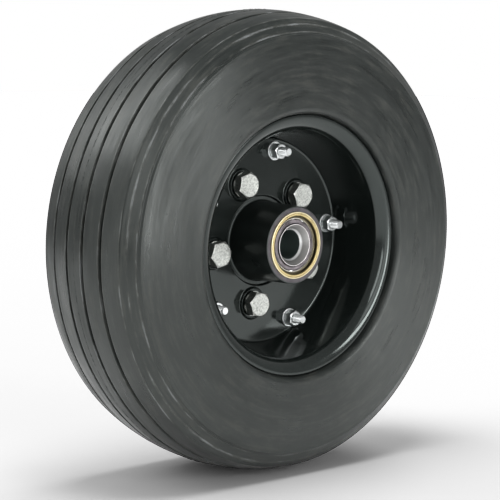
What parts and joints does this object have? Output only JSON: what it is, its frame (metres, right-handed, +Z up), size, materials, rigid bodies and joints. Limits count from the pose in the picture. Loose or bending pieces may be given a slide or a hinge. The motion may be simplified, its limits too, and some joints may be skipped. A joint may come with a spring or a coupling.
{
  "type": "industrial wheel with bolted split rim",
  "caption": "Solid rubber tyred industrial wheel: ribbed tread, two-piece bolted black steel rim, bolted hub with ball bearings for a round axle.",
  "frame": {"origin": "wheel's centre on the spin axis, in the middle plane of the tyre", "axes": "+Y along the spin axis, from the front face with the rim nuts towards the rear; +Z up"},
  "size_m": [0.4064, 0.124, 0.4064],
  "materials": {
    "tyre_rubber": "satin, smooth moulded",
    "rim_paint": "gloss black paint",
    "hub_paint": "gloss black paint, machined satin end faces",
    "zinc_bolts": "clear zinc plate, speckled forged heads",
    "zinc_small": "bright clear zinc plate",
    "yellow_zinc": "yellow zinc plate, satin",
    "bearing_steel": "turned dark steel",
    "polished_balls": "polished",
    "cage_steel": "pressed steel",
    "bushing_steel": "bright turned steel"
  },
  "bodies": {
    "axle_set": {"axle_bushing_front": "bushing_steel", "bearing_inner_ring_front": "bearing_steel", "axle_bushing_rear": "bushing_steel", "bearing_inner_ring_rear": "bearing_steel"},
    "wheel": {"tyre": "tyre_rubber", "rim_half_front": "rim_paint", "rim_half_rear": "rim_paint", "hub": "hub_paint", "lug_bolts": "zinc_bolts", "rim_bolts": "zinc_small", "rim_washers": "zinc_small", "rim_nuts": "zinc_small", "bearing_outer_ring_front": "yellow_zinc", "bearing_outer_shield_front": "yellow_zinc", "bearing_inner_shield_front": "yellow_zinc", "bearing_outer_ring_rear": "yellow_zinc", "bearing_outer_shield_rear": "yellow_zinc", "bearing_inner_shield_rear": "yellow_zinc"},
    "ball_set_front": {"bearing_balls_front": "polished_balls", "bearing_cage_front": "cage_steel"},
    "ball_set_rear": {"bearing_balls_rear": "polished_balls", "bearing_cage_rear": "cage_steel"}
  },
  "joints": [
    {"name": "wheel_spin", "type": "hinge", "parent": "axle_set", "child": "wheel", "pos_m": [0, 0, 0], "axis": [0, 1, 0], "continuous": true},
    {"name": "ball_orbit_front", "type": "hinge", "parent": "axle_set", "child": "ball_set_front", "pos_m": [0, -0.0405, 0], "axis": [0, 1, 0], "continuous": true},
    {"name": "ball_orbit_rear", "type": "hinge", "parent": "axle_set", "child": "ball_set_rear", "pos_m": [0, 0.0405, 0], "axis": [0, 1, 0], "continuous": true}
  ],
  "couplings": [
    {"joint": "ball_orbit_front", "follows": "wheel_spin", "ratio": 0.5859},
    {"joint": "ball_orbit_rear", "follows": "wheel_spin", "ratio": 0.5859}
  ]
}
